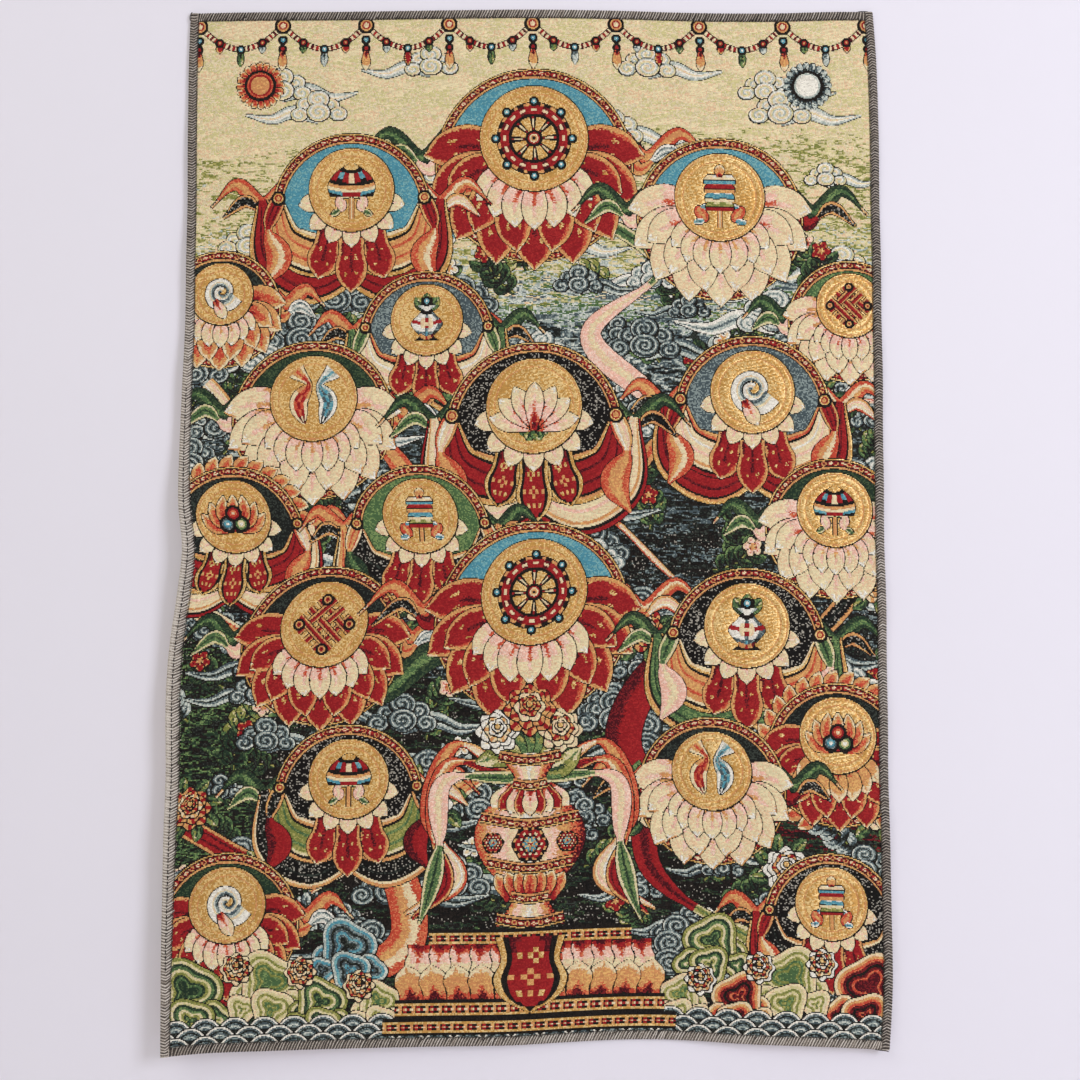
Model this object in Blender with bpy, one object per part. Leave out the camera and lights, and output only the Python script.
"""A picture panel woven in one piece, with overlocked edges, as it hangs by its top edge.

The cloth is one thin sheet. Its outline strays a little from a true rectangle, and it hangs
clear of the wall in soft folds, most at its lower left corner. The thread edge on each of its
four sides is a solid of its own: a U in section, closed over the cut side of the cloth.

The origin is the middle of the top edge, halfway through its thickness. +X is to the right as
seen from the front, -Y is towards the viewer, and +Z is up.
"""

import math

import bmesh
import bpy
import numpy as np

MM = 0.001

# Over the thread edges
PANEL_WIDTH = 0.6030
PANEL_DROP = 0.8890

CLOTH_THICKNESS = 0.0012

# The thread edge: how far it reaches in over the cloth, how thick its thread layer is, and
# the clearance that keeps it off the cloth and off the next edge
EDGE_REACH = 0.0070
EDGE_WALL = 0.0005
CLEARANCE = 0.0003
EDGE_OUTSIDE = CLEARANCE + EDGE_WALL
EDGE_ROUNDING = 0.0005

# The outermost row of cells on the cloth, a little wider than the thread edge
MARGIN = 0.0080
CELLS_ACROSS = 24
CELLS_DOWN = 56

# How far each edge strays outwards from its straight line.
# Columns: share of the way along the edge, from the left or from the top; millimetres outwards.
TOP_EDGE = (
    (0.00, -3.7), (0.06, -2.8), (0.24, -1.9), (0.38, -0.6), (0.51, 0.0),
    (0.63, -1.1), (0.73, -3.0), (0.86, -3.4), (0.95, -2.1), (1.00, -2.3),
)
BOTTOM_EDGE = (
    (0.00, 3.5), (0.05, 1.4), (0.14, 0.6), (0.36, -0.5), (0.48, -1.0), (0.56, -3.0),
    (0.64, -4.5), (0.72, -4.5), (0.80, -3.3), (0.86, -2.6), (0.93, -1.0), (1.00, 1.6),
)
LEFT_EDGE = (
    (0.00, -1.4), (0.05, -1.0), (0.20, -2.8), (0.34, -3.4), (0.44, -1.8), (0.49, -3.6),
    (0.53, -8.0), (0.575, -4.5), (0.62, 1.6), (0.75, 2.2), (0.87, 2.2), (0.95, 1.0), (1.00, 0.0),
)
RIGHT_EDGE = (
    (0.00, -1.6), (0.04, 0.4), (0.20, 1.5), (0.40, 1.3), (0.50, 0.5), (0.60, 1.2),
    (0.75, 0.9), (0.88, 1.3), (0.95, 0.6), (1.00, -2.8),
)

# How far the cloth hangs forward of its top edge, in millimetres.
# A row for each level, the share of the drop first, then one value for each share across.
FOLD_COLUMNS = (0.00, 0.14, 0.30, 0.48, 0.68, 0.84, 1.00)
FOLD_LEVELS = (
    (0.00, (0.0, 0.0, 0.0, 0.0, 0.0, 0.0, 0.0)),
    (0.15, (2.2, 1.1, 0.9, 1.7, 1.1, 0.7, 0.9)),
    (0.33, (5.6, 3.1, 1.8, 2.8, 1.6, 2.0, 1.7)),
    (0.52, (9.6, 6.6, 2.6, 1.8, 3.0, 1.6, 2.8)),
    (0.70, (13.6, 9.6, 4.6, 2.6, 1.2, 3.6, 2.2)),
    (0.86, (16.6, 11.6, 6.6, 3.6, 0.8, 5.6, 3.6)),
    (1.00, (19.6, 13.6, 8.2, 4.6, 0.7, 7.8, 5.8)),
)

# Where the left edge curls towards the viewer: its level, its half height and how far it
# reaches in, as shares of the drop and the width, and how far it comes forward
CURL_LEVEL = 0.53
CURL_HALF_HEIGHT = 0.058
CURL_REACH = 0.045
CURL_FORWARD = 0.0065

# Sewing stretches the sides a little, so they ripple: the share of the width that ripples,
# the number of waves down the side, and how far a wave stands forward
RIPPLE_REACH = 0.05
RIPPLE_WAVES = 9.0
RIPPLE_FORWARD = 0.0008

# Edges sharper than this stay sharp in the shading
SHARP_ANGLE = math.radians(40)

# Finishes: the woven picture's average colour, and the grey sewing thread
CLOTH_COLOUR = (0.235, 0.165, 0.090)
CLOTH_ROUGHNESS = 0.75
THREAD_COLOUR = (0.165, 0.150, 0.135)
THREAD_ROUGHNESS = 0.65


def smooth(rows, at):
    """Values at the shares `at`, on a smooth curve through rows of (share, value).

    Each stretch is a cubic whose end slopes are those of the curve through its neighbours.
    """
    share, value = np.array(list(rows), float).T
    slope = np.gradient(value, share)
    at = np.clip(at, 0.0, 1.0)
    k = np.clip(np.searchsorted(share, at, side="right") - 1, 0, len(share) - 2)
    step = share[k + 1] - share[k]
    t = (at - share[k]) / step
    rise = value[k + 1] - value[k]
    start_bend = slope[k] * step - rise
    end_bend = rise - slope[k + 1] * step
    return value[k] + t * rise + t * (1 - t) * ((1 - t) * start_bend + t * end_bend)


def forward_of_wall(across, down):
    """How far the cloth stands forward of its top edge, a row for each share down."""
    levels = [level for level, _ in FOLD_LEVELS]
    by_level = np.array([smooth(zip(FOLD_COLUMNS, depths), across) for _, depths in FOLD_LEVELS])
    folds = np.array([smooth(zip(levels, depths), down) for depths in by_level.T]).T * MM

    across, down = across[None, :], down[:, None]
    curl = np.exp(-((down - CURL_LEVEL) / CURL_HALF_HEIGHT) ** 2) * np.exp(-across / CURL_REACH)
    edge_distance = np.minimum(across, 1 - across)
    ripple = np.sin(2 * np.pi * RIPPLE_WAVES * down) * np.exp(-edge_distance / RIPPLE_REACH)
    held_ends = 4 * down * (1 - down)
    return folds + CURL_FORWARD * curl + RIPPLE_FORWARD * held_ends * ripple


def cloth_points(across, down):
    """Points of the cloth's middle layer, a row for each share down.

    The plane outline is blended from the four edges: x is mixed from left to right at each
    level, and z from top to bottom at each share across.
    """
    half = PANEL_WIDTH / 2 - EDGE_OUTSIDE
    left = -half - smooth(LEFT_EDGE, down)[:, None] * MM
    right = half + smooth(RIGHT_EDGE, down)[:, None] * MM
    top = -EDGE_OUTSIDE + smooth(TOP_EDGE, across)[None, :] * MM
    bottom = EDGE_OUTSIDE - PANEL_DROP - smooth(BOTTOM_EDGE, across)[None, :] * MM

    x = left + (right - left) * across[None, :]
    z = top + (bottom - top) * down[:, None]
    return np.stack([x, -forward_of_wall(across, down), z], axis=-1)


def shares_with_margin(cells, length):
    """Shares of an edge at the cell lines: one margin at each end, even cells between."""
    margin = MARGIN / length
    inner = np.linspace(margin, 1 - margin, cells - 1)
    return np.concatenate([[0.0], inner, [1.0]])


def sheet_layers():
    """The middle layer of the cloth as a grid of points, and its normals towards the viewer."""
    across = shares_with_margin(CELLS_ACROSS, PANEL_WIDTH)
    down = shares_with_margin(CELLS_DOWN, PANEL_DROP)
    points = cloth_points(across, down)
    along_x = np.gradient(points, axis=1)
    along_z = np.gradient(points, axis=0)
    normals = np.cross(along_x, along_z)
    normals /= np.linalg.norm(normals, axis=-1, keepdims=True)
    normals *= -np.sign(normals[..., 1:2])
    return points, normals


def place(layers, column, row, height):
    """A point over the cloth: its column and row in cells, and its height off the middle layer.

    Between the cell lines it lies on straight lines, and outside the cloth it goes straight on.
    """
    points, normals = layers
    i = int(np.clip(np.floor(column), 0, CELLS_ACROSS - 1))
    j = int(np.clip(np.floor(row), 0, CELLS_DOWN - 1))
    s, t = column - i, row - j
    corners = (
        (i, j, (1 - s) * (1 - t)),
        (i + 1, j, s * (1 - t)),
        (i, j + 1, (1 - s) * t),
        (i + 1, j + 1, s * t),
    )
    point = sum(weight * points[b, a] for a, b, weight in corners)
    normal = sum(weight * normals[b, a] for a, b, weight in corners)
    return point + normal / np.linalg.norm(normal) * height


def edge_profile():
    """The U section of a thread edge: (distance in from the cut side, height) pairs.

    It runs round the outside from the front leg's end to the back leg's, then back inside.
    """
    inside = CLOTH_THICKNESS / 2 + CLEARANCE
    outside = inside + EDGE_WALL
    return (
        (EDGE_REACH, outside - EDGE_WALL / 2),
        (EDGE_REACH - EDGE_WALL, outside),
        (EDGE_ROUNDING - EDGE_OUTSIDE, outside),
        (-EDGE_OUTSIDE, outside - EDGE_ROUNDING),
        (-EDGE_OUTSIDE, EDGE_ROUNDING - outside),
        (EDGE_ROUNDING - EDGE_OUTSIDE, -outside),
        (EDGE_REACH - EDGE_WALL, -outside),
        (EDGE_REACH, EDGE_WALL / 2 - outside),
        (EDGE_REACH, -inside),
        (-CLEARANCE, -inside),
        (-CLEARANCE, inside),
        (EDGE_REACH, inside),
    )


def new_material(name, colour, roughness):
    """A plain cloth or thread finish."""
    material = bpy.data.materials.new(name)
    material.use_nodes = True
    shader = material.node_tree.nodes["Principled BSDF"]
    shader.inputs["Base Color"].default_value = (*colour, 1.0)
    shader.inputs["Roughness"].default_value = roughness
    shader.inputs["Metallic"].default_value = 0.0
    return material


def add_solid(name, points, faces, material):
    """One closed solid from its points and faces, with the faces turned outwards."""
    mesh = bpy.data.meshes.new(name)
    mesh.from_pydata([tuple(map(float, point)) for point in points], [], faces)
    shell = bmesh.new()
    shell.from_mesh(mesh)
    bmesh.ops.recalc_face_normals(shell, faces=shell.faces)
    shell.to_mesh(mesh)
    shell.free()
    mesh.materials.append(material)
    mesh.shade_smooth()
    mesh.set_sharp_from_angle(angle=SHARP_ANGLE)
    solid = bpy.data.objects.new(name, mesh)
    bpy.context.collection.objects.link(solid)
    return solid


def add_cloth(layers, material):
    """The sheet: a front and a back layer of cells, joined round the four cut sides."""
    points, normals = layers
    rows, columns = points.shape[:2]
    half = CLOTH_THICKNESS / 2
    front = (points + normals * half).reshape(-1, 3)
    back = (points - normals * half).reshape(-1, 3)
    count = rows * columns

    faces = []
    for j in range(rows - 1):
        for i in range(columns - 1):
            a, b = j * columns + i, j * columns + i + 1
            c, d = b + columns, a + columns
            faces.append((a, d, c, b))
            faces.append((count + a, count + b, count + c, count + d))
    rim = list(range(columns))
    rim += [j * columns + columns - 1 for j in range(1, rows)]
    rim += [(rows - 1) * columns + i for i in range(columns - 2, -1, -1)]
    rim += [j * columns for j in range(rows - 2, 0, -1)]
    for here, there in zip(rim, rim[1:] + rim[:1]):
        faces.append((here, there, count + there, count + here))
    return add_solid("cloth", np.concatenate([front, back]), faces, material)


def add_edge(name, stations, material):
    """A thread edge: the U section carried along its stations, and closed at both ends.

    Each station is the section's points in space, in the profile's order.
    """
    around = len(stations[0])
    points = [point for station in stations for point in station]
    faces = []
    for k in range(len(stations) - 1):
        for a in range(around):
            b = (a + 1) % around
            start, end = k * around, (k + 1) * around
            faces.append((start + a, start + b, end + b, end + a))
    faces += end_faces(0)
    faces += end_faces((len(stations) - 1) * around)
    return add_solid(name, points, faces, material)


def end_faces(first):
    """The flat end of a U section: its front leg, its outer wall and its back leg."""
    front_leg = (0, 1, 2, 10, 11)
    outer_wall = (2, 3, 4, 5, 9, 10)
    back_leg = (5, 6, 7, 8, 9)
    return [tuple(first + k for k in loop) for loop in (front_leg, outer_wall, back_leg)]


def lengthwise_stations(layers, at_top):
    """Sections of the top or the bottom edge, between the left and the right edge."""
    start = (EDGE_REACH + CLEARANCE) / MARGIN
    columns = [start, *range(1, CELLS_ACROSS), CELLS_ACROSS - start]
    stations = []
    for column in columns:
        station = []
        for inwards, height in edge_profile():
            cells_in = inwards / MARGIN
            row = cells_in if at_top else CELLS_DOWN - cells_in
            station.append(place(layers, column, row, height))
        stations.append(station)
    return stations


def upright_stations(layers, at_left):
    """Sections of the left or the right edge, sewn last, past the top and the bottom of the cloth."""
    past = EDGE_OUTSIDE / MARGIN
    rows = [-past, *range(CELLS_DOWN + 1), CELLS_DOWN + past]
    stations = []
    for row in rows:
        station = []
        for inwards, height in edge_profile():
            cells_in = inwards / MARGIN
            column = cells_in if at_left else CELLS_ACROSS - cells_in
            station.append(place(layers, column, row, height))
        stations.append(station)
    return stations


def clear_scene():
    """Takes out whatever the file holds."""
    for old in list(bpy.data.objects):
        bpy.data.objects.remove(old, do_unlink=True)


def build():
    """Makes the panel's five solids and hangs them on one empty."""
    clear_scene()
    layers = sheet_layers()
    woven_cloth = new_material("woven_picture_cloth", CLOTH_COLOUR, CLOTH_ROUGHNESS)
    thread = new_material("grey_overlock_thread", THREAD_COLOUR, THREAD_ROUGHNESS)

    pieces = [
        add_cloth(layers, woven_cloth),
        add_edge("overlock_edge_top", lengthwise_stations(layers, True), thread),
        add_edge("overlock_edge_right", upright_stations(layers, False), thread),
        add_edge("overlock_edge_bottom", lengthwise_stations(layers, False), thread),
        add_edge("overlock_edge_left", upright_stations(layers, True), thread),
    ]
    hanging_line = bpy.data.objects.new("panel", None)
    bpy.context.collection.objects.link(hanging_line)
    for piece in pieces:
        piece.parent = hanging_line


build()
